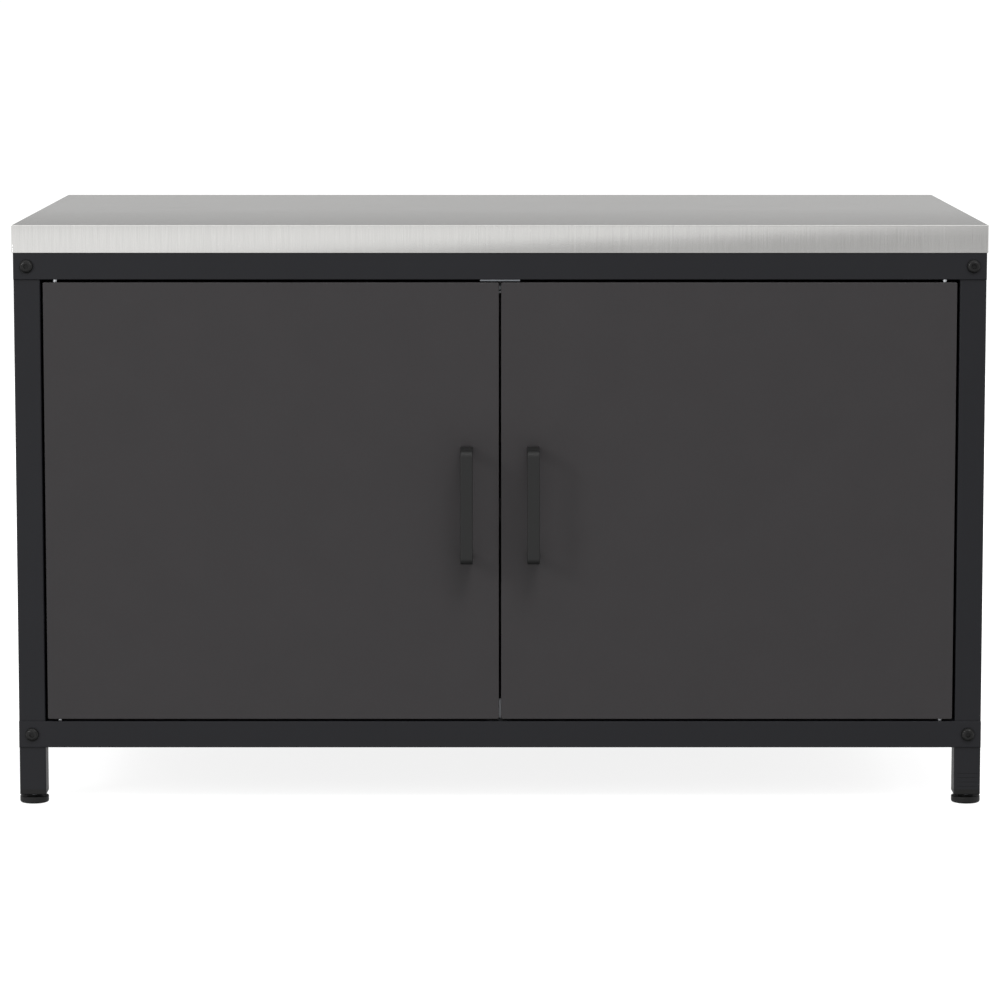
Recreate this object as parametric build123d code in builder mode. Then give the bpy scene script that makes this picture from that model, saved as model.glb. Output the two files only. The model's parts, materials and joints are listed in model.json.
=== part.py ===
from build123d import *
import os

# Low two-door storage cabinet on four levelling feet: a bolted steel tube frame, flat sheet
# panels, two inset doors on pivot pins and a stainless worktop over a board core.
# Millimetres. +Z up, the doors face -Y, +X to the right seen from the front. The origin is on
# the floor, at the middle of the whole cabinet's box, handles included.

os.makedirs("parts", exist_ok=True)

# ---------------------------------------------------------------- overall size
FRAME_W = 1000.0
FRAME_D = 600.0
HEIGHT = 603.0
WORKTOP_H = 28.6
WORKTOP_OVERHANG = 1.2
WORKTOP_SHEET = 1.2
WORKTOP_HEM = 15.0
WORKTOP_CORNER_R = 1.2
WORKTOP_FOLD_R = 1.1
WORKTOP_HEM_R = 0.5
FLOOR_CLEARANCE = 59.8

# ---------------------------------------------------------------- frame tube and beams
TUBE = 27.5
TUBE_WALL = 1.5
TUBE_R = 1.5
TUBE_INNER_R = 0.6
BEAM_H = 27.5
BEAM_SHEET = 2.0
BEAM_DEPTH = BEAM_SHEET + TUBE
BEAM_EDGE_R = 0.8
POST_BOTTOM = 15.1
PANEL_SHEET = 1.2
PANEL_RECESS = 2.0
STIFFENER_X = 160.0
STIFFENER_LEG = 22.0
STIFFENER_SHEET = 2.0

# ---------------------------------------------------------------- doors
DOOR_OUTER_X = 469.8
DOOR_INNER_X = 1.1
DOOR_BOTTOM = 89.5
DOOR_H = 454.5
DOOR_T = 20.0
DOOR_SHEET = 1.2
DOOR_RECESS = 0.5
DOOR_CORNER_R = 1.6
DOOR_EDGE_R = 0.9
DOOR_HEM = 14.0
DOOR_HEM_R = 3.0
LINER_SHEET = 1.0
LINER_GAP = 0.2
PIVOT_X = 457.7
PIVOT_BEHIND_FACE = 8.0
PIN_R = 2.5
PIN_HEAD_R = 4.5
PIN_HEAD_H = 2.2
PIN_IN_DOOR = 13.0
BUSH_CLEARANCE = 0.05
BUSH_W = 24.0
BUSH_H = 20.0
BUSH_CORNER_R = 1.0
BUSH_COLLAR_R = 4.4
BUSH_COLLAR_GAP = 0.1
PIN_END_GAP = 0.4

# ---------------------------------------------------------------- bow handles
HANDLE_X = 34.4
HANDLE_Z = 315.8
HANDLE_L = 117.5
HANDLE_W = 12.8
HANDLE_T = 7.0
HANDLE_PROJECTION = 45.0
HANDLE_BEND_R = 6.5
HANDLE_INNER_R = 3.0
HANDLE_EDGE_R = 1.2
HANDLE_SCREW_R = 2.0
HANDLE_SCREW_IN_LEG = 10.0
HANDLE_SCREW_GAP = 0.3
HANDLE_THREAD_GAP = 0.05
HANDLE_SCREW_EDGE_R = 1.2
BACKING_W = 26.0
BACKING_H = 136.0
BACKING_T = 3.0
BACKING_CORNER_R = 3.0
ACCESS_R = 7.0
CAP_RIM = 1.5
CAP_T = 0.9
CAP_EDGE_R = 0.6
CAP_GAP = 0.1
CAP_WALL = 1.3
CAP_SKIRT = 4.0

# ---------------------------------------------------------------- fasteners
BOLT_R = 4.0
BOLT_HEAD_R = 7.0
BOLT_HEAD_H = 4.4
BOLT_DOME_R = 3.4
BOLT_SOCKET_AF = 5.0
BOLT_SOCKET_DEPTH = 2.6
BOLT_HOLE_R = 4.5
BOLT_L = 14.0
BOLT_CHAMFER = 0.6
BOLT_SOCKET_TURN = 15
NUT_AF = 13.0
NUT_H = 6.5
NUT_GAP = 0.05
SCREW_R = 2.2
SCREW_HEAD_R = 4.5
SCREW_HEAD_H = 2.6
SCREW_EDGE_R = 1.4
SCREW_SOCKET_AF = 3.0
SCREW_SOCKET_DEPTH = 1.4
SCREW_GAP = 0.3
SCREW_L = 18.0
SCREW_FROM_FACE = 21.0
SCREW_X = (150.0, 400.0)
WALL_HOLE_X = 350.0
WALL_HOLE_R = 4.5

# ---------------------------------------------------------------- levelling feet
PAD_R = 15.0
PAD_H = 6.8
PAD_HUB_R = 8.0
PAD_HUB_H = 1.0
PAD_BOTTOM_R = 2.0
PAD_TOP_R = 0.8
PLUG_BOTTOM = 9.5
PLUG_IN_TUBE = 30.0
PLUG_EDGE_R = 1.2
PLUG_GAP = 0.2
PLUG_CORNER_R = 1.0
PLUG_BORE_R = 5.08
STEM_R = 5.0
STEM_BOTTOM = 3.0
STEM_L = 42.0
STEM_CHAMFER = 1.0

# ---------------------------------------------------------------- shelf, catch and stop
SHELF_Z = 318.0
SHELF_W = 941.0
SHELF_LIP = 25.0
SHELF_FRONT = 34.0
SHELF_REAR = 34.0
SHELF_SHEET = 1.2
SHELF_RAIL_REACH = 46.0
SHELF_RAIL_H = 25.0
SHELF_RAIL_T = 1.5
SHELF_RAIL_END_GAP = 12.0
CATCH_W = 41.0
CATCH_PLATE_T = 1.5
CATCH_SETBACK = 1.0
CATCH_GAP = 0.3
CATCH_BODY_D = 16.0
CATCH_BODY_BOTTOM = 531.9
CATCH_BODY_R = 1.0
CATCH_SIDE_WALL = 3.5
CATCH_REAR_WALL = 3.0
CATCH_POLE_T = (3.4, 1.5)
CATCH_POLE_PROUD = 1.0
CATCH_MAGNET_T = 2.1
CATCH_FIT = 0.1
STOP_W = 26.0
STOP_T = 2.5
STOP_TOP = 108.0
STOP_FOOT = 18.0
STOP_TOP_R = 5.0
STOP_EDGE_R = 1.0
BUFFER_R = 3.5
BUFFER_H = 1.2
BUFFER_EDGE_R = 0.7
BUFFER_GAP = 0.3
BUFFER_X = 8.0
BUFFER_FROM_TOP = 8.0

# ---------------------------------------------------------------- derived planes
FRONT_EXTREME = DOOR_RECESS - HANDLE_PROJECTION
REAR_EXTREME = FRAME_D + BOLT_HEAD_H
FRONT_Y = -(FRONT_EXTREME + REAR_EXTREME) / 2
REAR_Y = FRONT_Y + FRAME_D
MIDDLE_Y = (FRONT_Y + REAR_Y) / 2
TUBE_BORE = TUBE - 2 * TUBE_WALL
POST_X = (FRAME_W - TUBE) / 2
SPAN_W = FRAME_W - 2 * TUBE
POST_Y = {"front": FRONT_Y + BEAM_SHEET + TUBE / 2, "rear": REAR_Y - BEAM_SHEET - TUBE / 2}
BAY_D = FRAME_D - 2 * BEAM_DEPTH
WORKTOP_BOTTOM = HEIGHT - WORKTOP_H
BEAM_Z = {"bottom": FLOOR_CLEARANCE, "top": WORKTOP_BOTTOM - BEAM_H}
BAY_BOTTOM = BEAM_Z["bottom"] + BEAM_H
BAY_TOP = BEAM_Z["top"]
BAY_H = BAY_TOP - BAY_BOTTOM
BAY_MIDDLE_Z = (BAY_TOP + BAY_BOTTOM) / 2
BOLT_Z = tuple(z + BEAM_H / 2 for z in BEAM_Z.values())
SIDES = {"left": -1, "right": 1}
DOOR_FRONT = FRONT_Y + DOOR_RECESS
DOOR_BACK = DOOR_FRONT + DOOR_T
DOOR_W = DOOR_OUTER_X - DOOR_INNER_X
DOOR_X = (DOOR_OUTER_X + DOOR_INNER_X) / 2
DOOR_Z = DOOR_BOTTOM + DOOR_H / 2
DOOR_TOP = DOOR_BOTTOM + DOOR_H
PIVOT_Y = DOOR_FRONT + PIVOT_BEHIND_FACE
HANDLE_HOLES_Z = (HANDLE_Z - HANDLE_L / 2 + HANDLE_T / 2, HANDLE_Z + HANDLE_L / 2 - HANDLE_T / 2)


def outward(end, depth=0.0):
    """Sketch plane facing out of the front or rear, a given depth inside the frame's face."""
    if end == "front":
        return Plane(origin=(0, FRONT_Y + depth, 0), x_dir=(1, 0, 0), z_dir=(0, -1, 0))
    return Plane(origin=(0, REAR_Y - depth, 0), x_dir=(-1, 0, 0), z_dir=(0, 1, 0))


def facing_front(y):
    """Sketch plane at y, drawn in X and Z. A positive extrusion runs towards the front."""
    return Plane(origin=(0, y, 0), x_dir=(1, 0, 0), z_dir=(0, -1, 0))


def write(builder, name):
    """Labels a finished piece and writes its STEP file."""
    builder.part.label = name
    export_step(builder.part, f"parts/{name}.step")


# ================================================================ frame
def post(side, end):
    """Square tube leg and corner post, open at both ends, with two bolt holes in its outer wall."""
    place = (SIDES[side] * POST_X, POST_Y[end])
    with BuildPart() as tube:
        with BuildSketch(Plane.XY.offset(POST_BOTTOM)):
            with Locations(place):
                RectangleRounded(TUBE, TUBE, TUBE_R)
                RectangleRounded(TUBE_BORE, TUBE_BORE, TUBE_INNER_R, mode=Mode.SUBTRACT)
        extrude(amount=WORKTOP_BOTTOM - POST_BOTTOM)
        with BuildSketch(outward(end, BEAM_SHEET)) as holes:
            with Locations(*((place[0] * holes.workplanes[0].x_dir.X, z) for z in BOLT_Z)):
                Circle(BOLT_HOLE_R)
        extrude(amount=-2 * TUBE_WALL, mode=Mode.SUBTRACT)
    return tube


for side_name in SIDES:
    for end_name in POST_Y:
        write(post(side_name, end_name), f"post_{end_name}_{side_name}")


def side_rail(side, level):
    """Square tube welded between the front and rear posts of one side frame."""
    with BuildPart() as rail:
        with BuildSketch(Plane.XZ.offset(-(FRONT_Y + BEAM_DEPTH))):
            with Locations((SIDES[side] * POST_X, BEAM_Z[level] + BEAM_H / 2)):
                RectangleRounded(TUBE, BEAM_H, TUBE_R)
                RectangleRounded(TUBE_BORE, BEAM_H - 2 * TUBE_WALL, TUBE_INNER_R, mode=Mode.SUBTRACT)
        extrude(amount=-BAY_D)
    return rail


for side_name in SIDES:
    for level_name in BEAM_Z:
        write(side_rail(side_name, level_name), f"side_rail_{level_name}_{side_name}")


def beam(end, level):
    """Folded channel: its web lies over the posts and its two flanges run between them."""
    bottom = BEAM_Z[level]
    with BuildPart() as channel:
        with BuildSketch(outward(end)):
            with Locations((0, bottom + BEAM_H / 2)):
                Rectangle(FRAME_W, BEAM_H)
        extrude(amount=-BEAM_SHEET)
        with BuildSketch(outward(end, BEAM_SHEET)):
            with Locations((0, bottom + BEAM_SHEET / 2), (0, bottom + BEAM_H - BEAM_SHEET / 2)):
                Rectangle(SPAN_W, BEAM_SHEET)
        extrude(amount=-TUBE)
        web_face = channel.faces().filter_by(Axis.Y).sort_by(Axis.Y)[0 if end == "front" else -1]
        fillet(web_face.edges(), BEAM_EDGE_R)
        with BuildSketch(outward(end)):
            with Locations((-POST_X, bottom + BEAM_H / 2), (POST_X, bottom + BEAM_H / 2)):
                Circle(BOLT_HOLE_R)
            if (end, level) == ("rear", "top"):
                with Locations((-WALL_HOLE_X, bottom + BEAM_H / 2), (WALL_HOLE_X, bottom + BEAM_H / 2)):
                    Circle(WALL_HOLE_R)
        extrude(amount=-BEAM_SHEET, mode=Mode.SUBTRACT)
        if level == "top":
            screw_y = FRONT_Y + SCREW_FROM_FACE if end == "front" else REAR_Y - SCREW_FROM_FACE
            points = [(side * x, screw_y) for side in (-1, 1) for x in SCREW_X]
            with BuildSketch(Plane.XY.offset(WORKTOP_BOTTOM)):
                with Locations(*points):
                    Circle(SCREW_R + SCREW_GAP)
            extrude(amount=-BEAM_SHEET, mode=Mode.SUBTRACT)
            with BuildSketch(Plane.XY.offset(bottom)):
                with Locations(*points):
                    Circle(ACCESS_R)
            extrude(amount=BEAM_SHEET, mode=Mode.SUBTRACT)
        if end == "front":
            flange = bottom if level == "top" else bottom + BEAM_H - BEAM_SHEET
            with BuildSketch(Plane.XY.offset(flange)):
                with Locations((-PIVOT_X, PIVOT_Y), (PIVOT_X, PIVOT_Y)):
                    Circle(PIN_R)
            extrude(amount=BEAM_SHEET, mode=Mode.SUBTRACT)
    return channel


for end_name in POST_Y:
    for level_name in BEAM_Z:
        write(beam(end_name, level_name), f"{end_name}_beam_{level_name}")


def frame_bolts(end):
    """Four button-head bolts with a hexagon socket, one at each corner of the front or rear."""
    corners = [(side * POST_X, z) for side in (-1, 1) for z in BOLT_Z]
    with BuildPart() as bolts:
        with BuildSketch(outward(end)):
            with Locations(*corners):
                Circle(BOLT_HEAD_R)
        extrude(amount=BOLT_HEAD_H)
        tips = bolts.faces().filter_by(Axis.Y).group_by(Axis.Y)[0 if end == "front" else -1]
        fillet(tips.edges(), BOLT_DOME_R)
        with BuildSketch(outward(end, -BOLT_HEAD_H)):
            with Locations(*corners):
                RegularPolygon(BOLT_SOCKET_AF / 2, 6, major_radius=False, rotation=BOLT_SOCKET_TURN)
        extrude(amount=-BOLT_SOCKET_DEPTH, mode=Mode.SUBTRACT)
        with BuildSketch(outward(end)):
            with Locations(*corners):
                Circle(BOLT_R)
        extrude(amount=-BOLT_L)
        shank_ends = bolts.edges().filter_by(GeomType.CIRCLE).group_by(Axis.Y)[-1 if end == "front" else 0]
        chamfer(shank_ends, BOLT_CHAMFER)
    return bolts


for end_name in POST_Y:
    write(frame_bolts(end_name), f"frame_bolts_{end_name}")

with BuildPart() as frame_nuts:
    for end_name in POST_Y:
        with BuildSketch(outward(end_name, BEAM_SHEET + TUBE_WALL)):
            with Locations(*((side * POST_X, z) for side in (-1, 1) for z in BOLT_Z)):
                RegularPolygon(NUT_AF / 2, 6, major_radius=False)
                Circle(BOLT_R + NUT_GAP, mode=Mode.SUBTRACT)
        extrude(amount=-NUT_H)
write(frame_nuts, "frame_nuts")


# ================================================================ sheet panels
def side_panel(side):
    """Flat sheet welded between the tubes of a side frame, just inside their outer faces."""
    sign = SIDES[side]
    with BuildPart() as panel:
        with BuildSketch(Plane.YZ.offset(sign * (FRAME_W / 2 - PANEL_RECESS))):
            with Locations((MIDDLE_Y, BAY_MIDDLE_Z)):
                Rectangle(BAY_D, BAY_H)
        extrude(amount=-sign * PANEL_SHEET)
    return panel


for side_name in SIDES:
    write(side_panel(side_name), f"side_panel_{side_name}")

with BuildPart() as back_panel:
    with BuildSketch(outward("rear", BEAM_SHEET + PANEL_RECESS)):
        with Locations((0, BAY_MIDDLE_Z)):
            Rectangle(SPAN_W, BAY_H)
    extrude(amount=-PANEL_SHEET)
write(back_panel, "back_panel")

with BuildPart() as floor_panel:
    with BuildSketch(Plane.XY.offset(BAY_BOTTOM)):
        with Locations((0, MIDDLE_Y)):
            Rectangle(SPAN_W, BAY_D)
    extrude(amount=-PANEL_SHEET)
write(floor_panel, "floor_panel")

FLOOR_UNDERSIDE = BAY_BOTTOM - PANEL_SHEET
with BuildPart() as floor_stiffeners:
    for sign in SIDES.values():
        with BuildSketch(facing_front(FRONT_Y + BEAM_DEPTH)):
            with BuildLine():
                Polyline(
                    (sign * STIFFENER_X, FLOOR_UNDERSIDE),
                    (sign * (STIFFENER_X + STIFFENER_LEG), FLOOR_UNDERSIDE),
                    (sign * (STIFFENER_X + STIFFENER_LEG), FLOOR_UNDERSIDE - STIFFENER_SHEET),
                    (sign * (STIFFENER_X + STIFFENER_SHEET), FLOOR_UNDERSIDE - STIFFENER_SHEET),
                    (sign * (STIFFENER_X + STIFFENER_SHEET), FLOOR_UNDERSIDE - STIFFENER_LEG),
                    (sign * STIFFENER_X, FLOOR_UNDERSIDE - STIFFENER_LEG),
                    close=True,
                )
            make_face()
        extrude(amount=-BAY_D)
write(floor_stiffeners, "floor_stiffeners")

# ================================================================ shelf
SHELF_Y0 = FRONT_Y + SHELF_FRONT
SHELF_Y1 = REAR_Y - SHELF_REAR
with BuildPart() as shelf:
    with BuildSketch(Plane.YZ.offset(-SHELF_W / 2)):
        with Locations(((SHELF_Y0 + SHELF_Y1) / 2, SHELF_Z - SHELF_LIP / 2)):
            Rectangle(SHELF_Y1 - SHELF_Y0, SHELF_LIP)
        with Locations(((SHELF_Y0 + SHELF_Y1) / 2, SHELF_Z - SHELF_LIP / 2 - SHELF_SHEET)):
            Rectangle(SHELF_Y1 - SHELF_Y0 - 2 * SHELF_SHEET, SHELF_LIP, mode=Mode.SUBTRACT)
    extrude(amount=SHELF_W)
    fillet(shelf.edges().filter_by(Axis.X).group_by(Axis.Z)[-1], SHELF_SHEET)
write(shelf, "shelf")

RAIL_OUTER_X = FRAME_W / 2 - PANEL_RECESS - PANEL_SHEET
RAIL_TOP = SHELF_Z - SHELF_SHEET
with BuildPart() as shelf_rails:
    for sign in SIDES.values():
        with BuildSketch(facing_front(FRONT_Y + BEAM_DEPTH + SHELF_RAIL_END_GAP)):
            with BuildLine():
                Polyline(
                    (sign * RAIL_OUTER_X, RAIL_TOP),
                    (sign * (RAIL_OUTER_X - SHELF_RAIL_REACH), RAIL_TOP),
                    (sign * (RAIL_OUTER_X - SHELF_RAIL_REACH), RAIL_TOP - SHELF_RAIL_T),
                    (sign * (RAIL_OUTER_X - SHELF_RAIL_T), RAIL_TOP - SHELF_RAIL_T),
                    (sign * (RAIL_OUTER_X - SHELF_RAIL_T), RAIL_TOP - SHELF_RAIL_H),
                    (sign * RAIL_OUTER_X, RAIL_TOP - SHELF_RAIL_H),
                    close=True,
                )
            make_face()
        extrude(amount=-(BAY_D - 2 * SHELF_RAIL_END_GAP))
write(shelf_rails, "shelf_rails")

# ================================================================ worktop
WORKTOP_W = FRAME_W + 2 * WORKTOP_OVERHANG
WORKTOP_D = FRAME_D + 2 * WORKTOP_OVERHANG
with BuildPart() as worktop_skin:
    with BuildSketch(Plane.XY.offset(WORKTOP_BOTTOM)):
        with Locations((0, MIDDLE_Y)):
            RectangleRounded(WORKTOP_W, WORKTOP_D, WORKTOP_CORNER_R)
    extrude(amount=WORKTOP_H)
    fillet(worktop_skin.faces().sort_by(Axis.Z)[-1].edges(), WORKTOP_FOLD_R)
    fillet(worktop_skin.faces().sort_by(Axis.Z)[0].edges(), WORKTOP_HEM_R)
    with BuildSketch(Plane.XY.offset(HEIGHT - WORKTOP_SHEET)):
        with Locations((0, MIDDLE_Y)):
            Rectangle(FRAME_W, FRAME_D)
    extrude(amount=-(WORKTOP_H - 2 * WORKTOP_SHEET), mode=Mode.SUBTRACT)
    with BuildSketch(Plane.XY.offset(WORKTOP_BOTTOM)):
        with Locations((0, MIDDLE_Y)):
            Rectangle(FRAME_W - 2 * WORKTOP_HEM, FRAME_D - 2 * WORKTOP_HEM)
    extrude(amount=WORKTOP_SHEET, mode=Mode.SUBTRACT)
write(worktop_skin, "worktop_skin")

SCREW_POINTS = [
    (side * x, y)
    for side in (-1, 1)
    for x in SCREW_X
    for y in (FRONT_Y + SCREW_FROM_FACE, REAR_Y - SCREW_FROM_FACE)
]
SCREW_SEAT = WORKTOP_BOTTOM - BEAM_SHEET
with BuildPart() as worktop_core:
    with BuildSketch(Plane.XY.offset(WORKTOP_BOTTOM + WORKTOP_SHEET)):
        with Locations((0, MIDDLE_Y)):
            Rectangle(FRAME_W, FRAME_D)
    extrude(amount=WORKTOP_H - 2 * WORKTOP_SHEET)
    with BuildSketch(Plane.XY.offset(WORKTOP_BOTTOM + WORKTOP_SHEET)):
        with Locations(*SCREW_POINTS):
            Circle(SCREW_R)
    extrude(amount=SCREW_SEAT + SCREW_L - WORKTOP_BOTTOM - WORKTOP_SHEET, mode=Mode.SUBTRACT)
write(worktop_core, "worktop_core")

with BuildPart() as worktop_screws:
    with BuildSketch(Plane.XY.offset(SCREW_SEAT)):
        with Locations(*SCREW_POINTS):
            Circle(SCREW_HEAD_R)
    extrude(amount=-SCREW_HEAD_H)
    fillet(worktop_screws.edges().filter_by(GeomType.CIRCLE).group_by(Axis.Z)[0], SCREW_EDGE_R)
    with BuildSketch(Plane.XY.offset(SCREW_SEAT)):
        with Locations(*SCREW_POINTS):
            Circle(SCREW_R)
    extrude(amount=SCREW_L)
    with BuildSketch(Plane.XY.offset(SCREW_SEAT - SCREW_HEAD_H)):
        with Locations(*SCREW_POINTS):
            RegularPolygon(SCREW_SOCKET_AF / 2, 6, major_radius=False)
    extrude(amount=SCREW_SOCKET_DEPTH, mode=Mode.SUBTRACT)
write(worktop_screws, "worktop_screws")

# ================================================================ pivot pins
with BuildPart() as pivot_pins:
    for sign in SIDES.values():
        for seat, tip in (
            (BEAM_Z["top"] + BEAM_SHEET, DOOR_TOP - PIN_IN_DOOR),
            (BAY_BOTTOM - BEAM_SHEET, DOOR_BOTTOM + PIN_IN_DOOR),
        ):
            away = PIN_HEAD_H if tip < seat else -PIN_HEAD_H
            with BuildSketch(Plane.XY.offset(seat)):
                with Locations((sign * PIVOT_X, PIVOT_Y)):
                    Circle(PIN_HEAD_R)
            extrude(amount=away)
            with BuildSketch(Plane.XY.offset(seat)):
                with Locations((sign * PIVOT_X, PIVOT_Y)):
                    Circle(PIN_R)
            extrude(amount=tip - seat)
write(pivot_pins, "pivot_pins")


# ================================================================ doors
def door_skin(side):
    """Front sheet folded back on all four edges, with a hem around its open back."""
    x = SIDES[side] * DOOR_X
    handle_x = SIDES[side] * HANDLE_X
    with BuildPart() as skin:
        with BuildSketch(facing_front(DOOR_FRONT)):
            with Locations((x, DOOR_Z)):
                RectangleRounded(DOOR_W, DOOR_H, DOOR_CORNER_R)
        extrude(amount=-DOOR_T)
        fillet(skin.faces().sort_by(Axis.Y)[0].edges(), DOOR_EDGE_R)
        with BuildSketch(facing_front(DOOR_FRONT + DOOR_SHEET)):
            with Locations((x, DOOR_Z)):
                Rectangle(DOOR_W - 2 * DOOR_SHEET, DOOR_H - 2 * DOOR_SHEET)
        extrude(amount=-(DOOR_T - 2 * DOOR_SHEET), mode=Mode.SUBTRACT)
        with BuildSketch(facing_front(DOOR_BACK - DOOR_SHEET)):
            with Locations((x, DOOR_Z)):
                RectangleRounded(DOOR_W - 2 * DOOR_HEM, DOOR_H - 2 * DOOR_HEM, DOOR_HEM_R)
        extrude(amount=-DOOR_SHEET, mode=Mode.SUBTRACT)
        with BuildSketch(facing_front(DOOR_FRONT)):
            with Locations(*((handle_x, z) for z in HANDLE_HOLES_Z)):
                Circle(HANDLE_SCREW_R + HANDLE_SCREW_GAP)
        extrude(amount=-DOOR_SHEET, mode=Mode.SUBTRACT)
        for level in (DOOR_BOTTOM, DOOR_TOP - DOOR_SHEET):
            with BuildSketch(Plane.XY.offset(level)):
                with Locations((SIDES[side] * PIVOT_X, PIVOT_Y)):
                    Circle(BUSH_COLLAR_R)
            extrude(amount=DOOR_SHEET, mode=Mode.SUBTRACT)
    return skin


def door_liner(side):
    """Flat inner sheet behind the hem, with two access holes for the handle's screws."""
    inset = DOOR_SHEET + LINER_GAP
    with BuildPart() as liner:
        with BuildSketch(facing_front(DOOR_BACK - DOOR_SHEET - LINER_SHEET)):
            with Locations((SIDES[side] * DOOR_X, DOOR_Z)):
                Rectangle(DOOR_W - 2 * inset, DOOR_H - 2 * inset)
            with Locations(*((SIDES[side] * HANDLE_X, z) for z in HANDLE_HOLES_Z)):
                Circle(ACCESS_R, mode=Mode.SUBTRACT)
        extrude(amount=-LINER_SHEET)
    return liner


def backing_plate(side):
    """Steel plate inside the door that spreads the handle screws' load."""
    with BuildPart() as plate:
        with BuildSketch(facing_front(DOOR_FRONT + DOOR_SHEET)):
            with Locations((SIDES[side] * HANDLE_X, HANDLE_Z)):
                RectangleRounded(BACKING_W, BACKING_H, BACKING_CORNER_R)
            with Locations(*((SIDES[side] * HANDLE_X, z) for z in HANDLE_HOLES_Z)):
                Circle(HANDLE_SCREW_R + HANDLE_SCREW_GAP, mode=Mode.SUBTRACT)
        extrude(amount=-BACKING_T)
    return plate


def pivot_bush(side, level):
    """Moulded block in a door corner that the pivot pin turns in, with a collar in the skin's hole."""
    sign = SIDES[side]
    edge = DOOR_TOP if level == "top" else DOOR_BOTTOM
    inward = -1 if level == "top" else 1
    block_d = DOOR_T - 2 * DOOR_SHEET - LINER_SHEET
    block_x = sign * (DOOR_OUTER_X - DOOR_SHEET - BUSH_W / 2)
    with BuildPart() as bush:
        with BuildSketch(Plane.XY.offset(edge + inward * DOOR_SHEET)):
            with Locations((block_x, DOOR_FRONT + DOOR_SHEET + block_d / 2)):
                Rectangle(BUSH_W, block_d)
        extrude(amount=inward * BUSH_H)
        fillet(bush.edges().filter_by(Axis.Z), BUSH_CORNER_R)
        with BuildSketch(Plane.XY.offset(edge)):
            with Locations((sign * PIVOT_X, PIVOT_Y)):
                Circle(BUSH_COLLAR_R - BUSH_COLLAR_GAP)
        extrude(amount=inward * DOOR_SHEET)
        with BuildSketch(Plane.XY.offset(edge)):
            with Locations((sign * PIVOT_X, PIVOT_Y)):
                Circle(PIN_R + BUSH_CLEARANCE)
        extrude(amount=inward * (PIN_IN_DOOR + PIN_END_GAP), mode=Mode.SUBTRACT)
    return bush


def bow_handle(side):
    """Bow handle: a flat bar bent forward, down and back, screwed on through both feet."""
    x = SIDES[side] * HANDLE_X
    with BuildPart() as handle:
        with BuildSketch(Plane.YZ.offset(x - HANDLE_W / 2)) as bow:
            with Locations((DOOR_FRONT - HANDLE_PROJECTION / 2, HANDLE_Z)):
                Rectangle(HANDLE_PROJECTION, HANDLE_L)
            fillet(bow.vertices().group_by(Axis.X)[0], HANDLE_BEND_R)
            with BuildSketch(mode=Mode.PRIVATE) as gap:
                with Locations((DOOR_FRONT - (HANDLE_PROJECTION - HANDLE_T) / 2, HANDLE_Z)):
                    Rectangle(HANDLE_PROJECTION - HANDLE_T, HANDLE_L - 2 * HANDLE_T)
                fillet(gap.vertices().group_by(Axis.X)[0], HANDLE_INNER_R)
            add(gap.sketch, mode=Mode.SUBTRACT)
        extrude(amount=HANDLE_W)
        rims = handle.faces().filter_by(Axis.X).edges()
        fillet([rim for rim in rims if rim.center().Y < DOOR_FRONT - 0.01], HANDLE_EDGE_R)
        with BuildSketch(facing_front(DOOR_FRONT)):
            with Locations(*((x, z) for z in HANDLE_HOLES_Z)):
                Circle(HANDLE_SCREW_R + HANDLE_THREAD_GAP)
        extrude(amount=HANDLE_SCREW_IN_LEG + PIN_END_GAP, mode=Mode.SUBTRACT)
    return handle


def handle_screws(side):
    """Two pan-head screws from inside the door into the handle's feet."""
    places = [(SIDES[side] * HANDLE_X, z) for z in HANDLE_HOLES_Z]
    seat = DOOR_FRONT + DOOR_SHEET + BACKING_T
    with BuildPart() as screws:
        with BuildSketch(facing_front(seat)):
            with Locations(*places):
                Circle(HANDLE_SCREW_R)
        extrude(amount=seat - DOOR_FRONT + HANDLE_SCREW_IN_LEG)
        with BuildSketch(facing_front(seat)):
            with Locations(*places):
                Circle(2 * HANDLE_SCREW_R)
        extrude(amount=-1.4 * HANDLE_SCREW_R)
        fillet(screws.edges().filter_by(GeomType.CIRCLE).group_by(Axis.Y)[-1], HANDLE_SCREW_EDGE_R)
    return screws


def access_caps(side):
    """Two push-in caps that close the liner's access holes."""
    places = [(SIDES[side] * HANDLE_X, z) for z in HANDLE_HOLES_Z]
    back = DOOR_BACK - DOOR_SHEET
    with BuildPart() as caps:
        with BuildSketch(facing_front(back)):
            with Locations(*places):
                Circle(ACCESS_R + CAP_RIM)
        extrude(amount=-CAP_T)
        fillet(caps.edges().filter_by(GeomType.CIRCLE).group_by(Axis.Y)[-1], CAP_EDGE_R)
        with BuildSketch(facing_front(back)):
            with Locations(*places):
                Circle(ACCESS_R - CAP_GAP)
                Circle(ACCESS_R - CAP_GAP - CAP_WALL, mode=Mode.SUBTRACT)
        extrude(amount=CAP_SKIRT)
    return caps


for side_name in SIDES:
    write(door_skin(side_name), f"{side_name}_door_skin")
    write(door_liner(side_name), f"{side_name}_door_liner")
    write(backing_plate(side_name), f"{side_name}_handle_backing_plate")
    write(pivot_bush(side_name, "top"), f"{side_name}_pivot_bush_top")
    write(pivot_bush(side_name, "bottom"), f"{side_name}_pivot_bush_bottom")
    write(bow_handle(side_name), f"{side_name}_handle")
    write(handle_screws(side_name), f"{side_name}_handle_screws")
    write(access_caps(side_name), f"{side_name}_access_caps")

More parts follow.
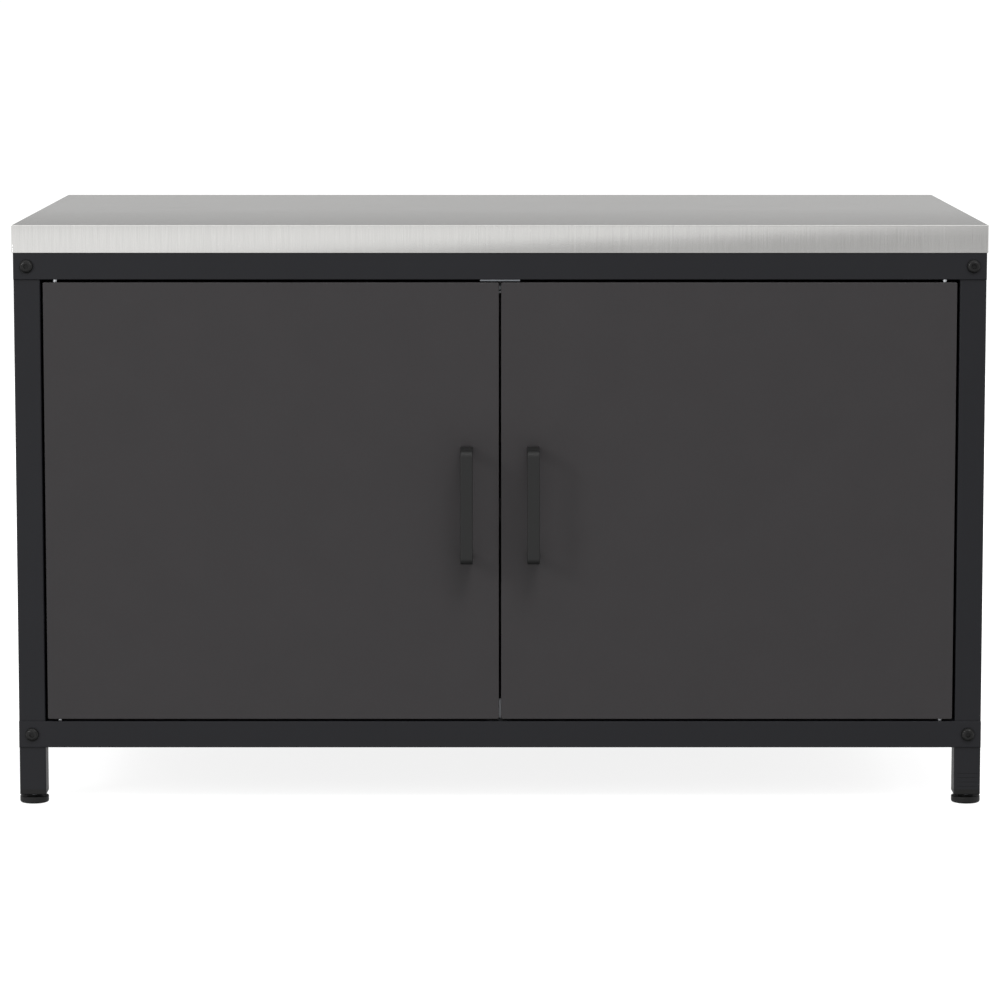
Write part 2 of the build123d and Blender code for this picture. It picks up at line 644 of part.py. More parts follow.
# ================================================================ magnetic catch and door stop
CATCH_PLATE_FRONT = FRONT_Y + CATCH_SETBACK
CATCH_FRONT = DOOR_BACK + CATCH_GAP
CATCH_BODY_FRONT = CATCH_FRONT + CATCH_POLE_PROUD
CATCH_BODY_BACK = CATCH_BODY_FRONT + CATCH_BODY_D
CATCH_BAY_W = CATCH_W - 1 - 2 * CATCH_SIDE_WALL
CATCH_BAY_D = CATCH_BODY_BACK - CATCH_REAR_WALL - CATCH_FRONT
CATCH_STACK_H = sum(CATCH_POLE_T) + CATCH_MAGNET_T
POLE_BOTTOMS = (CATCH_BODY_BOTTOM + CATCH_POLE_T[1] + CATCH_MAGNET_T, CATCH_BODY_BOTTOM)

with BuildPart() as catch_bracket:
    with BuildSketch(Plane.XY.offset(BAY_TOP)):
        with Locations((0, (CATCH_PLATE_FRONT + CATCH_BODY_BACK + CATCH_PLATE_T) / 2)):
            Rectangle(CATCH_W, CATCH_BODY_BACK + CATCH_PLATE_T - CATCH_PLATE_FRONT)
    extrude(amount=-CATCH_PLATE_T)
    with BuildSketch(facing_front(CATCH_BODY_BACK)):
        with Locations((0, (BAY_TOP + CATCH_BODY_BOTTOM) / 2)):
            Rectangle(CATCH_W, BAY_TOP - CATCH_BODY_BOTTOM)
    extrude(amount=-CATCH_PLATE_T)
write(catch_bracket, "catch_bracket")

with BuildPart() as catch_housing:
    with BuildSketch(Plane.XY.offset(BAY_TOP - CATCH_PLATE_T)):
        with Locations((0, (CATCH_BODY_FRONT + CATCH_BODY_BACK) / 2)):
            RectangleRounded(CATCH_W - 1, CATCH_BODY_D, CATCH_BODY_R)
    extrude(amount=-(BAY_TOP - CATCH_PLATE_T - CATCH_BODY_BOTTOM))
    with BuildSketch(Plane.XY.offset(CATCH_BODY_BOTTOM)):
        with Locations((0, CATCH_FRONT + CATCH_BAY_D / 2)):
            Rectangle(CATCH_BAY_W, CATCH_BAY_D)
    extrude(amount=CATCH_STACK_H, mode=Mode.SUBTRACT)
write(catch_housing, "catch_housing")

with BuildPart() as catch_pole_plates:
    for pole_bottom, pole_t in zip(POLE_BOTTOMS, CATCH_POLE_T):
        with BuildSketch(Plane.XY.offset(pole_bottom)):
            with Locations((0, CATCH_FRONT + (CATCH_BAY_D - CATCH_FIT) / 2)):
                Rectangle(CATCH_BAY_W - 2 * CATCH_FIT, CATCH_BAY_D - CATCH_FIT)
        extrude(amount=pole_t)
write(catch_pole_plates, "catch_pole_plates")

with BuildPart() as catch_magnet:
    with BuildSketch(Plane.XY.offset(CATCH_BODY_BOTTOM + CATCH_POLE_T[1])):
        with Locations((0, CATCH_BODY_FRONT + (CATCH_BAY_D - 2 * CATCH_POLE_PROUD) / 2)):
            Rectangle(CATCH_BAY_W - 2 * CATCH_POLE_PROUD, CATCH_BAY_D - 2 * CATCH_POLE_PROUD)
    extrude(amount=CATCH_MAGNET_T)
write(catch_magnet, "catch_magnet")

STOP_FRONT = DOOR_BACK + BUFFER_H + BUFFER_GAP
with BuildPart() as door_stop:
    with BuildSketch(facing_front(STOP_FRONT)):
        with Locations((0, (STOP_TOP + BAY_BOTTOM) / 2)):
            Rectangle(STOP_W, STOP_TOP - BAY_BOTTOM)
    extrude(amount=-STOP_T)
    with BuildSketch(Plane.XY.offset(BAY_BOTTOM)):
        with Locations((0, STOP_FRONT + STOP_FOOT / 2)):
            Rectangle(STOP_W, STOP_FOOT)
    extrude(amount=STOP_T)
    fillet(door_stop.edges().filter_by(Axis.Y).group_by(Axis.Z)[-1], STOP_TOP_R)
    fillet(door_stop.edges().filter_by(Axis.X).group_by(Axis.Z)[-1], STOP_EDGE_R)
write(door_stop, "door_stop")

with BuildPart() as stop_buffers:
    with BuildSketch(facing_front(STOP_FRONT)):
        with Locations(*((sign * BUFFER_X, STOP_TOP - BUFFER_FROM_TOP) for sign in SIDES.values())):
            Circle(BUFFER_R)
    extrude(amount=BUFFER_H)
    fillet(stop_buffers.edges().filter_by(GeomType.CIRCLE).group_by(Axis.Y)[0], BUFFER_EDGE_R)
write(stop_buffers, "stop_buffers")


# ================================================================ levelling feet
def leg_plug(side, end):
    """Moulded end plug pushed into a leg, with a threaded bore for the foot's stem."""
    place = (SIDES[side] * POST_X, POST_Y[end])
    with BuildPart() as plug:
        with BuildSketch(Plane.XY.offset(PLUG_BOTTOM)):
            with Locations(place):
                RectangleRounded(TUBE, TUBE, TUBE_R)
        extrude(amount=POST_BOTTOM - PLUG_BOTTOM)
        fillet(plug.faces().sort_by(Axis.Z)[0].edges(), PLUG_EDGE_R)
        with BuildSketch(Plane.XY.offset(POST_BOTTOM)):
            with Locations(place):
                RectangleRounded(TUBE_BORE - 2 * PLUG_GAP, TUBE_BORE - 2 * PLUG_GAP, PLUG_CORNER_R)
        extrude(amount=PLUG_IN_TUBE)
        with BuildSketch(Plane.XY.offset(PLUG_BOTTOM)):
            with Locations(place):
                Circle(PLUG_BORE_R)
        extrude(amount=PLUG_IN_TUBE + POST_BOTTOM - PLUG_BOTTOM, mode=Mode.SUBTRACT)
    return plug


def foot_pad(side, end):
    """Round moulded foot with a low hub, which grips the stem's foot end."""
    place = (SIDES[side] * POST_X, POST_Y[end])
    with BuildPart() as pad:
        with BuildSketch(Plane.XY):
            with Locations(place):
                Circle(PAD_R)
        extrude(amount=PAD_H)
        fillet(pad.edges().group_by(Axis.Z)[0], PAD_BOTTOM_R)
        fillet(pad.edges().group_by(Axis.Z)[-1], PAD_TOP_R)
        with BuildSketch(Plane.XY.offset(PAD_H)):
            with Locations(place):
                Circle(PAD_HUB_R)
        extrude(amount=PAD_HUB_H)
        with BuildSketch(Plane.XY.offset(STEM_BOTTOM)):
            with Locations(place):
                Circle(STEM_R)
        extrude(amount=PAD_H, mode=Mode.SUBTRACT)
    return pad


def foot_stem(side, end):
    """Threaded steel stem between the pad and the leg plug."""
    place = (SIDES[side] * POST_X, POST_Y[end])
    with BuildPart() as stem:
        with BuildSketch(Plane.XY.offset(STEM_BOTTOM)):
            with Locations(place):
                Circle(STEM_R)
        extrude(amount=STEM_L)
        chamfer(stem.edges().group_by(Axis.Z)[-1], STEM_CHAMFER)
    return stem


for side_name in SIDES:
    for end_name in POST_Y:
        write(leg_plug(side_name, end_name), f"leg_plug_{end_name}_{side_name}")
        write(foot_pad(side_name, end_name), f"foot_pad_{end_name}_{side_name}")
        write(foot_stem(side_name, end_name), f"foot_stem_{end_name}_{side_name}")
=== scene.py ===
import json
import math

import bmesh
import bpy
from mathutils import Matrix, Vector


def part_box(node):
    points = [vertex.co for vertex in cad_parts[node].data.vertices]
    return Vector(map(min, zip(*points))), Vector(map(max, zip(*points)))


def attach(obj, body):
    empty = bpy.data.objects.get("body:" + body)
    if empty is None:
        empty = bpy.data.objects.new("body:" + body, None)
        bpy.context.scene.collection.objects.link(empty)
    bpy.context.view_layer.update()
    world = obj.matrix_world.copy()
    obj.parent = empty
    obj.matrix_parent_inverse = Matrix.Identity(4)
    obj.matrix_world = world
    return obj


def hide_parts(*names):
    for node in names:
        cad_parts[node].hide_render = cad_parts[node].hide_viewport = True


# Looks of the two-door base cabinet. Metres, +Z up, the doors face -Y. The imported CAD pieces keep
# their shapes and get their finishes here. The threads of the feet are built as meshes.

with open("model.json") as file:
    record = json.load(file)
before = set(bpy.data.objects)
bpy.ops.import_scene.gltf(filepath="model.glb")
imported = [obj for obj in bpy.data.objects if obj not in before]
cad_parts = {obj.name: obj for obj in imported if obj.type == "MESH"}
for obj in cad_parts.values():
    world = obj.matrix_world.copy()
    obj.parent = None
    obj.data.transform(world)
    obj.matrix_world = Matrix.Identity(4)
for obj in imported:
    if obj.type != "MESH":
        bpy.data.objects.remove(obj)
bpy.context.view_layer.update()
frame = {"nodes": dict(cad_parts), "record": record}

# ---------------------------------------------------------------- camera
CAMERA_PLACE = (0.0, -4.8146, 0.8682)
CAMERA_PITCH = 6.905
CAMERA_LENS = 159.2
CAMERA_SENSOR = 36.0
CAMERA_NEAR = 0.05
CAMERA_FAR = 200.0

# ---------------------------------------------------------------- floor, and the card that gloss mirrors
FLOOR_RADIUS = 40.0
FLOOR_DROP = 0.0005
FLOOR_GREY = 0.3
FLOOR_GLOW = 0.86
CARD_Y = -3.18
CARD_CORNERS = ((-0.85, 2.20), (3.0, 2.20), (3.0, -0.9), (1.06, -0.9))
CARD_GLOW = 0.54

# ---------------------------------------------------------------- sky: its strengths, and where it changes
SKY_FRONT = 1.12
SKY_BACK_LOW = 0.83
SKY_BACK_HIGH = 0.34
SKY_BELOW = 0.25
SKY_SEEN = 1.05
FRONT_TO_BACK = (-0.30, 0.10)
BACK_RISE = (0.04, 0.30)
BELOW_TO_LEVEL = (-0.75, -0.35)

# ---------------------------------------------------------------- lights
FRONT_AIM = (0.0, -0.2, 0.3)
KEY_AIM = (0.0, -0.2, 0.35)
MIDDLE_AIM = (0.0, 0.0, 0.3)
OVERHEAD_STRENGTH = 0.7
OVERHEAD_ANGLE = 70.0

# ---------------------------------------------------------------- set of the worktop's sheet
EDGE_MIDDLE = 0.5887
EDGE_HOLLOW = 5.6
FALL_START = 0.02
TOP_FALL = 0.085

# ---------------------------------------------------------------- lines scored across the right leg
LINES_LOW = 0.0182
LINES_HIGH = 0.0319
LINES_PITCH = 0.004567
LINES_LEFT = 0.4758
LINES_RIGHT = 0.4972
LINES_FRONT = -1.0
LINES_BACK = -0.2776
LINE_CORE = 0.0001
LINE_EDGE = 0.0005
LINE_DEPTH = 0.00012
LINE_TINT = 0.35

# ---------------------------------------------------------------- coats, and nodes with their own finish or painted shade
BLACK = (0.0075, 0.0077, 0.0094)
HANDLE_BLACK = (0.0088, 0.0090, 0.0089)
ANTHRACITE = (0.0224, 0.0207, 0.0217)
OWN_FINISH_OR_SHADE = {
    # The catch bracket gets a darker copy of the zinc: painted shade for its recessed place in the shadow
    # behind the gap between the doors.
    "catch_bracket": "painted_shade_zinc",
    "catch_pole_plates": "satin_zinc",
    "door_stop": "satin_zinc",
    "post_front_right": "scored_black",
}

# ---------------------------------------------------------------- threads of the feet
THREAD_PITCH = 0.0015
THREAD_DEPTH = 0.0009
THREAD_STEPS = 8
THREAD_SIDES = 40
THREAD_FLAT = 0.15


# ================================================================ node helpers
def start_material(name, colour, roughness, metallic=0.0, specular=0.5):
    """A material with one Principled shader, and the object coordinates that its patterns read."""
    material = bpy.data.materials.new(name)
    material.use_nodes = True
    tree = material.node_tree
    shader = tree.nodes["Principled BSDF"]
    shader.inputs["Base Color"].default_value = (*colour, 1.0)
    shader.inputs["Roughness"].default_value = roughness
    shader.inputs["Metallic"].default_value = metallic
    shader.inputs["Specular IOR Level"].default_value = specular
    coords = tree.nodes.new("ShaderNodeTexCoord").outputs["Object"]
    return material, tree, shader, coords


def scaled(tree, coords, size, stretch):
    """Coordinates in which features are that size in metres, and longer where stretched."""
    mapping = tree.nodes.new("ShaderNodeMapping")
    mapping.inputs["Scale"].default_value = [1 / (size * along) for along in stretch]
    tree.links.new(coords, mapping.inputs["Vector"])
    return mapping.outputs["Vector"]


def noise(tree, coords, size, detail=2.0, stretch=(1.0, 1.0, 1.0)):
    """Noise from 0 to 1."""
    texture = tree.nodes.new("ShaderNodeTexNoise")
    texture.inputs["Scale"].default_value = 1.0
    texture.inputs["Detail"].default_value = detail
    tree.links.new(scaled(tree, coords, size, stretch), texture.inputs["Vector"])
    return texture.outputs["Fac"]


def chips(tree, coords, size, stretch):
    """A random number for each of many small cells, such as wood chips."""
    texture = tree.nodes.new("ShaderNodeTexVoronoi")
    texture.inputs["Scale"].default_value = 1.0
    tree.links.new(scaled(tree, coords, size, stretch), texture.inputs["Vector"])
    return texture.outputs["Color"]


def between(tree, value, low, high, start=0.3, end=0.7):
    """value, which lies from start to end, spread from low to high."""
    node = tree.nodes.new("ShaderNodeMapRange")
    node.inputs["From Min"].default_value = start
    node.inputs["From Max"].default_value = end
    node.inputs["To Min"].default_value = low
    node.inputs["To Max"].default_value = high
    tree.links.new(value, node.inputs["Value"])
    return node.outputs["Result"]


def combine(tree, operation, first, second):
    """Two values put together by a maths operation. The second may be a plain number."""
    node = tree.nodes.new("ShaderNodeMath")
    node.operation = operation
    tree.links.new(first, node.inputs[0])
    if isinstance(second, float):
        node.inputs[1].default_value = second
    else:
        tree.links.new(second, node.inputs[1])
    return node.outputs["Value"]


def mixed(tree, first, share, second):
    """That share of the first value, and the rest of the second."""
    one = combine(tree, "MULTIPLY", first, share)
    other = combine(tree, "MULTIPLY", second, 1.0 - share)
    return combine(tree, "ADD", one, other)


def within(tree, value, low, high, fade):
    """1 where the value lies from low to high, and 0 elsewhere, with soft ends."""
    above = between(tree, value, 0.0, 1.0, low, low + fade)
    below = between(tree, value, 1.0, 0.0, high, high + fade)
    return combine(tree, "MULTIPLY", above, below)


def split(tree, vector):
    """The three parts of a vector."""
    node = tree.nodes.new("ShaderNodeSeparateXYZ")
    tree.links.new(vector, node.inputs["Vector"])
    return node.outputs["X"], node.outputs["Y"], node.outputs["Z"]


def paint(tree, shader, factor, colour, dark, light, start=0.3, end=0.7):
    """Base colour that runs with the factor from a darker to a lighter tint of the colour."""
    ramp = tree.nodes.new("ShaderNodeValToRGB")
    ramp.color_ramp.elements[0].position = start
    ramp.color_ramp.elements[0].color = (*[channel * dark for channel in colour], 1.0)
    ramp.color_ramp.elements[1].position = end
    ramp.color_ramp.elements[1].color = (*[channel * light for channel in colour], 1.0)
    tree.links.new(factor, ramp.inputs["Fac"])
    tree.links.new(ramp.outputs["Color"], shader.inputs["Base Color"])
    return ramp.outputs["Color"]


def roughen(tree, shader, factor, roughness, spread):
    """Roughness that varies with the factor by the spread to either side."""
    varied = between(tree, factor, roughness - spread, roughness + spread)
    tree.links.new(varied, shader.inputs["Roughness"])


def relief(tree, shader, height, depth, under=None):
    """Bumps of that depth in metres on the shader, laid over another relief where one is given."""
    node = tree.nodes.new("ShaderNodeBump")
    node.inputs["Strength"].default_value = 1.0
    node.inputs["Distance"].default_value = depth
    tree.links.new(height, node.inputs["Height"])
    if under is not None:
        tree.links.new(under, node.inputs["Normal"])
    tree.links.new(node.outputs["Normal"], shader.inputs["Normal"])
    return node.outputs["Normal"]


def glow(shader, strength):
    """White light that the surface gives off by itself."""
    shader.inputs["Emission Color"].default_value = (1.0, 1.0, 1.0, 1.0)
    shader.inputs["Emission Strength"].default_value = strength


# ================================================================ materials
def scored_lines(tree, coords):
    """1 on the faint lines across the front of the right leg, and 0 elsewhere."""
    across, depth, height = split(tree, coords)
    off_line = combine(tree, "PINGPONG", combine(tree, "SUBTRACT", height, LINES_LOW), LINES_PITCH / 2)
    lines = between(tree, off_line, 1.0, 0.0, LINE_CORE, LINE_EDGE)
    margin = LINES_PITCH / 2
    up_the_leg = within(tree, height, LINES_LOW - margin, LINES_HIGH + margin, 0.0001)
    along_the_line = within(tree, across, LINES_LEFT, LINES_RIGHT, 0.0003)
    on_the_front = within(tree, depth, LINES_FRONT, LINES_BACK, 0.0001)
    for limit in (up_the_leg, along_the_line, on_the_front):
        lines = combine(tree, "MULTIPLY", lines, limit)
    return lines


def score(tree, shader, coords, tint, surface):
    """Cuts the lines into a coat: darker than its tint, and sunk below its surface."""
    lines = scored_lines(tree, coords)
    darker = tree.nodes.new("ShaderNodeVectorMath")
    darker.operation = "SCALE"
    tree.links.new(tint, darker.inputs[0])
    tree.links.new(between(tree, lines, 1.0, LINE_TINT, 0.0, 1.0), darker.inputs["Scale"])
    tree.links.new(darker.outputs["Vector"], shader.inputs["Base Color"])
    relief(tree, shader, lines, -LINE_DEPTH, surface)


def powder_coat(name, colour, roughness, specular, scored=False):
    """Baked powder coat: a fine grain over soft orange peel, with faint mottling."""
    material, tree, shader, coords = start_material(name, colour, roughness, specular=specular)
    mottle = noise(tree, coords, size=0.045, detail=3.0)
    grain = noise(tree, coords, size=0.0016, detail=3.0)
    peel = noise(tree, coords, size=0.006, detail=1.0)
    tint = paint(tree, shader, mixed(tree, mottle, 0.35, grain), colour, 0.95, 1.05, 0.36, 0.64)
    roughen(tree, shader, grain, roughness, 0.03)
    surface = relief(tree, shader, grain, 0.000012, relief(tree, shader, peel, 0.00002))
    if scored:
        score(tree, shader, coords, tint, surface)
    return material


def sheet_set(tree, coords):
    """Height of the folded sheet: a hollow across the worktop's edges, and a fall to its front."""
    depth, height = split(tree, coords)[1:]
    off_middle = combine(tree, "SUBTRACT", height, EDGE_MIDDLE)
    hollow = combine(tree, "MULTIPLY", combine(tree, "POWER", off_middle, 2.0), EDGE_HOLLOW)
    into_fall = combine(tree, "MINIMUM", combine(tree, "SUBTRACT", depth, FALL_START), 0.0)
    fall = combine(tree, "MULTIPLY", combine(tree, "POWER", into_fall, 2.0), -TOP_FALL)
    return combine(tree, "ADD", hollow, fall)


def brushed_steel():
    """Brushed stainless sheet, with its grain running back from the front and down the front edge."""
    colour = (0.635, 0.63, 0.617)
    material, tree, shader, coords = start_material("brushed_steel", colour, 0.22, metallic=1.0)
    shader.inputs["Anisotropic"].default_value = 0.82
    grain_way = tree.nodes.new("ShaderNodeCombineXYZ")
    grain_way.inputs["Y"].default_value = 1.0
    grain_way.inputs["Z"].default_value = 0.05
    tree.links.new(grain_way.outputs["Vector"], shader.inputs["Tangent"])
    streaks = noise(tree, coords, size=0.0006, detail=3.0, stretch=(1.0, 60.0, 60.0))
    specks = noise(tree, coords, size=0.0028, detail=1.0)
    clouds = noise(tree, coords, size=0.09, detail=2.0)
    bright_specks = between(tree, specks, 0.0, 0.25, 0.72, 0.82)
    bright = combine(tree, "ADD", mixed(tree, streaks, 0.8, clouds), bright_specks)
    paint(tree, shader, bright, colour, 0.94, 1.06)
    roughen(tree, shader, mixed(tree, streaks, 0.5, clouds), 0.22, 0.02)
    sheet = relief(tree, shader, sheet_set(tree, coords), 1.0)
    relief(tree, shader, streaks, 0.000001, sheet)
    return material


def zinc_plate(name, colour, roughness):
    """Zinc plate, a little cloudy."""
    material, tree, shader, coords = start_material(name, colour, roughness, metallic=1.0)
    clouds = noise(tree, coords, size=0.004, detail=3.0)
    paint(tree, shader, clouds, colour, 0.88, 1.08)
    roughen(tree, shader, clouds, roughness, 0.09)
    relief(tree, shader, noise(tree, coords, size=0.0006), 0.000006)
    return material


def black_oxide():
    """Oiled black oxide on machined bolts."""
    colour = (0.0065, 0.0065, 0.0065)
    material, tree, shader, coords = start_material("black_oxide", colour, 0.30, specular=0.21)
    clouds = noise(tree, coords, size=0.003, detail=3.0)
    paint(tree, shader, clouds, colour, 0.8, 1.25)
    roughen(tree, shader, clouds, 0.30, 0.05)
    relief(tree, shader, noise(tree, coords, size=0.0005), 0.000008)
    return material


def moulded(name, colour, roughness, grain_size=0.0008, specular=0.4):
    """Moulded plastic or rubber with an eroded-mould grain."""
    material, tree, shader, coords = start_material(name, colour, roughness, specular=specular)
    grain = noise(tree, coords, grain_size, detail=3.0)
    paint(tree, shader, noise(tree, coords, size=0.02), colour, 0.88, 1.12)
    roughen(tree, shader, grain, roughness, 0.07)
    relief(tree, shader, grain, 0.00002)
    return material


def particle_board():
    """Raw particle board: pressed chips of light and dark wood."""
    colour = (0.52, 0.38, 0.24)
    material, tree, shader, coords = start_material("particle_board", colour, 0.8, specular=0.3)
    cells = chips(tree, coords, size=0.004, stretch=(1.6, 1.0, 0.6))
    fine = noise(tree, coords, size=0.0015, detail=3.0)
    wood = mixed(tree, cells, 0.7, fine)
    paint(tree, shader, wood, colour, 0.5, 1.25, 0.1, 0.9)
    roughen(tree, shader, fine, 0.8, 0.1)
    relief(tree, shader, wood, 0.0002)
    return material


def finishes():
    """The material for each of the record's slots, and for the nodes with a finish or painted shade of
    their own.
    """
    return {
        "frame_black": powder_coat("frame_black_coat", BLACK, 0.46, 0.205),
        "scored_black": powder_coat("scored_black_coat", BLACK, 0.46, 0.205, scored=True),
        "door_anthracite": powder_coat("door_anthracite_coat", ANTHRACITE, 0.50, 0.235),
        "panel_anthracite": powder_coat("panel_anthracite_coat", ANTHRACITE, 0.52, 0.235),
        "handle_black": powder_coat("handle_black_coat", HANDLE_BLACK, 0.44, 0.27),
        "stainless": brushed_steel(),
        "zinc_steel": zinc_plate("bright_zinc", (0.66, 0.68, 0.70), 0.31),
        "satin_zinc": zinc_plate("satin_zinc", (0.42, 0.435, 0.455), 0.38),
        # A darker copy of the bright zinc: painted shade for the catch bracket, which sits in the shadow
        # behind the gap between the doors.
        "painted_shade_zinc": zinc_plate("painted_shade_zinc", (0.20, 0.21, 0.225), 0.45),
        "bolt_black": black_oxide(),
        "board_core": particle_board(),
        "catch_plastic": moulded("catch_grey_plastic", (0.17, 0.175, 0.18), 0.45),
        "ferrite": moulded("ferrite_grey", (0.035, 0.035, 0.04), 0.6, grain_size=0.0004),
        "buffer_rubber": moulded("buffer_black_rubber", (0.020, 0.020, 0.020), 0.75, 0.0006, 0.3),
        "bush_plastic": moulded("bush_black_nylon", (0.022, 0.022, 0.022), 0.5),
        "cap_plastic": moulded("cap_anthracite_plastic", (0.045, 0.043, 0.045), 0.5),
        "foot_plastic": moulded("foot_black_plastic", (0.006, 0.006, 0.006), 0.50, specular=0.20),
    }


def dress_cad_nodes(materials):
    """Gives each CAD node its own finish or painted shade, or the one of its slot in the record."""
    for subpart in frame["record"]["subparts"]:
        slots = frame["nodes"][subpart["node"]].data.materials
        slots.clear()
        # The catch bracket's darker zinc is painted shade, not a finish of its own.
        finish_or_shade = OWN_FINISH_OR_SHADE.get(subpart["node"], subpart["material_slot"])
        slots.append(materials[finish_or_shade])


# ================================================================ threads of the feet
def thread_radius(phase, outer):
    """Radius of a screw thread's flank at a phase from 0 to 1, with flats at crest and root."""
    slope = (abs(2 * phase - 1) - THREAD_FLAT) / (1 - 2 * THREAD_FLAT)
    return outer - THREAD_DEPTH * (1 - min(max(slope, 0.0), 1.0))


def thread_loop(low, high, ring, rings):
    """The points around the thread at one of its rings, with a plain core at both ends."""
    outer = (high.x - low.x) / 2
    centre_x = (low.x + high.x) / 2
    centre_y = (low.y + high.y) / 2
    z = low.z + (high.z - low.z) * ring / rings
    points = []
    for corner in range(THREAD_SIDES):
        angle = 2 * math.pi * corner / THREAD_SIDES
        phase = ((z - low.z) / THREAD_PITCH - corner / THREAD_SIDES) % 1.0
        radius = thread_radius(phase, outer)
        if ring in (0, rings):
            radius = outer - THREAD_DEPTH
        points.append((centre_x + radius * math.cos(angle), centre_y + radius * math.sin(angle), z))
    return points


def thread_mesh(name, low, high):
    """A closed mesh of the helical thread that fills the box from low to high."""
    mesh = bmesh.new()
    rings = int((high.z - low.z) / THREAD_PITCH * THREAD_STEPS)
    loops = []
    for ring in range(rings + 1):
        loops.append([mesh.verts.new(point) for point in thread_loop(low, high, ring, rings)])
    for below, above in zip(loops, loops[1:]):
        for corner in range(THREAD_SIDES):
            following = (corner + 1) % THREAD_SIDES
            mesh.faces.new((below[corner], below[following], above[following], above[corner]))
    mesh.faces.new(reversed(loops[0]))
    mesh.faces.new(loops[-1])
    data = bpy.data.meshes.new(name)
    mesh.to_mesh(data)
    mesh.free()
    return data


def threaded_stem(end, side, material):
    """A foot's stem with its real helical thread, in the place of the plain CAD shaft."""
    name = f"stem_thread_{end}_{side}"
    low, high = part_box(f"foot_stem_{end}_{side}")
    data = thread_mesh(name, low, high)
    data.materials.append(material)
    stem = bpy.data.objects.new(name, data)
    bpy.context.scene.collection.objects.link(stem)
    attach(stem, f"foot_{end}_{side}")
    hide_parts(f"foot_stem_{end}_{side}")


# ================================================================ studio
def build_floor():
    """A plain pale floor that reaches past every view. Only the camera sees it."""
    mesh = bmesh.new()
    bmesh.ops.create_circle(mesh, cap_ends=True, segments=128, radius=FLOOR_RADIUS)
    data = bpy.data.meshes.new("floor")
    mesh.to_mesh(data)
    mesh.free()
    colour = (FLOOR_GREY, FLOOR_GREY, FLOOR_GREY)
    material, tree, shader, coords = start_material("floor_white", colour, 0.9, specular=0.0)
    paint(tree, shader, noise(tree, coords, size=0.8), colour, 0.983, 1.017)
    glow(shader, FLOOR_GLOW)
    data.materials.append(material)
    floor = bpy.data.objects.new("floor", data)
    floor.location.z = -FLOOR_DROP
    floor.visible_diffuse = False
    floor.visible_glossy = False
    floor.visible_shadow = False
    bpy.context.scene.collection.objects.link(floor)


def build_card():
    """A grey card in front on the right, which only the glossy surfaces mirror."""
    data = bpy.data.meshes.new("card")
    data.from_pydata([(x, CARD_Y, z) for x, z in CARD_CORNERS], [], [(0, 1, 2, 3)])
    material = start_material("card_grey", (0.0, 0.0, 0.0), 1.0, specular=0.0)[0]
    glow(material.node_tree.nodes["Principled BSDF"], CARD_GLOW)
    data.materials.append(material)
    card = bpy.data.objects.new("card", data)
    card.visible_camera = False
    card.visible_diffuse = False
    card.visible_shadow = False
    bpy.context.scene.collection.objects.link(card)


def softbox(name, place, aim, size, power, mirrored=False, lighting=True):
    """A square area light that isn't seen itself. Gloss mirrors it only where that is asked for."""
    light = bpy.data.lights.new(name, "AREA")
    light.shape = "SQUARE"
    light.size = size
    light.energy = power
    lamp = bpy.data.objects.new(name, light)
    lamp.location = place
    lamp.rotation_euler = (Vector(aim) - Vector(place)).to_track_quat("-Z", "Y").to_euler()
    lamp.visible_camera = False
    lamp.visible_glossy = mirrored
    lamp.visible_diffuse = lighting
    bpy.context.scene.collection.objects.link(lamp)


def overhead():
    """Wide soft light straight down, which keeps the floor pale as far as it can be seen."""
    light = bpy.data.lights.new("overhead", "SUN")
    light.energy = OVERHEAD_STRENGTH
    light.angle = math.radians(OVERHEAD_ANGLE)
    lamp = bpy.data.objects.new("overhead", light)
    bpy.context.scene.collection.objects.link(lamp)


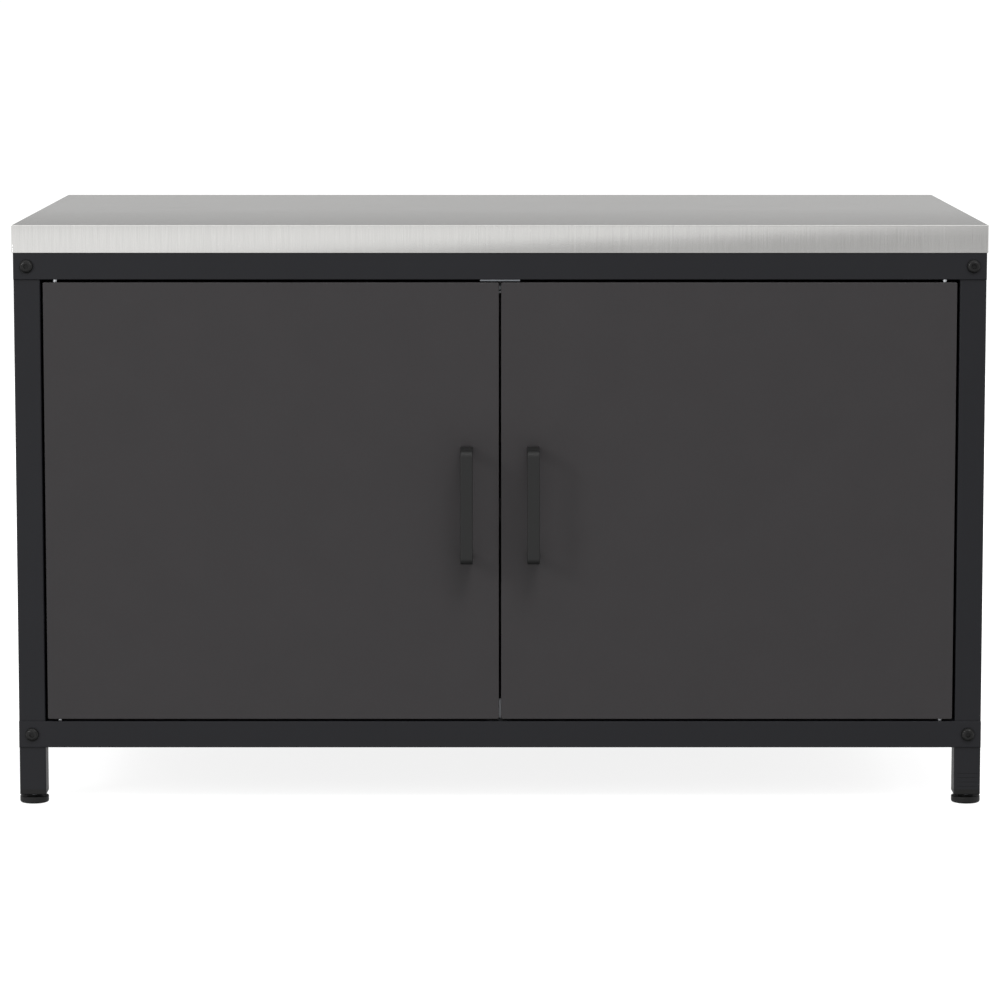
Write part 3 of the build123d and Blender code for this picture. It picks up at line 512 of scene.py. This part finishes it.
def build_lights():
    """A key light on the left, a fill above, both sides, the rear, and a small glint on the right."""
    softbox("key", (-3.0, -3.4, 1.9), KEY_AIM, 0.9, 45.0, mirrored=True)
    softbox("fill", (0.5, -2.6, 2.9), FRONT_AIM, 1.2, 80.0)
    softbox("left_side", (-4.0, 0.8, 1.7), MIDDLE_AIM, 2.2, 110.0)
    softbox("right_side", (4.0, 0.8, 1.7), MIDDLE_AIM, 2.2, 110.0)
    softbox("rear", (0.6, 4.2, 2.4), MIDDLE_AIM, 2.2, 120.0)
    softbox("glint", (1.5, -2.8, 2.1), FRONT_AIM, 0.3, 14.0, mirrored=True, lighting=False)
    overhead()


def build_sky():
    """Even light from the front, dimmer behind and below, and plain white to the camera."""
    world = bpy.data.worlds.new("studio")
    bpy.context.scene.world = world
    world.use_nodes = True
    tree = world.node_tree
    background = tree.nodes["Background"]
    background.inputs["Color"].default_value = (1.0, 1.0, 1.0, 1.0)
    depth, height = split(tree, tree.nodes.new("ShaderNodeTexCoord").outputs["Generated"])[1:]
    ahead = between(tree, depth, 1.0, 0.0, *FRONT_TO_BACK)
    behind = between(tree, height, SKY_BACK_LOW, SKY_BACK_HIGH, *BACK_RISE)
    dimmer = combine(tree, "MULTIPLY", combine(tree, "SUBTRACT", behind, SKY_FRONT), ahead)
    level = combine(tree, "SUBTRACT", behind, dimmer)
    lit = combine(tree, "MULTIPLY", level, between(tree, height, SKY_BELOW, 1.0, *BELOW_TO_LEVEL))
    by_camera = tree.nodes.new("ShaderNodeLightPath").outputs["Is Camera Ray"]
    seen = combine(tree, "MULTIPLY", by_camera, SKY_SEEN)
    tree.links.new(combine(tree, "MAXIMUM", lit, seen), background.inputs["Strength"])


def build_camera():
    """The camera stands in front of the middle, above the worktop, and looks slightly down."""
    data = bpy.data.cameras.new("camera")
    data.lens = CAMERA_LENS
    data.sensor_width = CAMERA_SENSOR
    data.clip_start = CAMERA_NEAR
    data.clip_end = CAMERA_FAR
    camera = bpy.data.objects.new("camera", data)
    camera.location = CAMERA_PLACE
    camera.rotation_euler = (math.radians(90 - CAMERA_PITCH), 0.0, 0.0)
    bpy.context.scene.collection.objects.link(camera)
    bpy.context.scene.camera = camera


# ================================================================ the scene
materials = finishes()
dress_cad_nodes(materials)
for side in ("left", "right"):
    for end in ("front", "rear"):
        threaded_stem(end, side, materials["zinc_steel"])

build_floor()
build_card()
build_sky()
build_lights()
build_camera()
bpy.context.scene.view_settings.view_transform = "Standard"
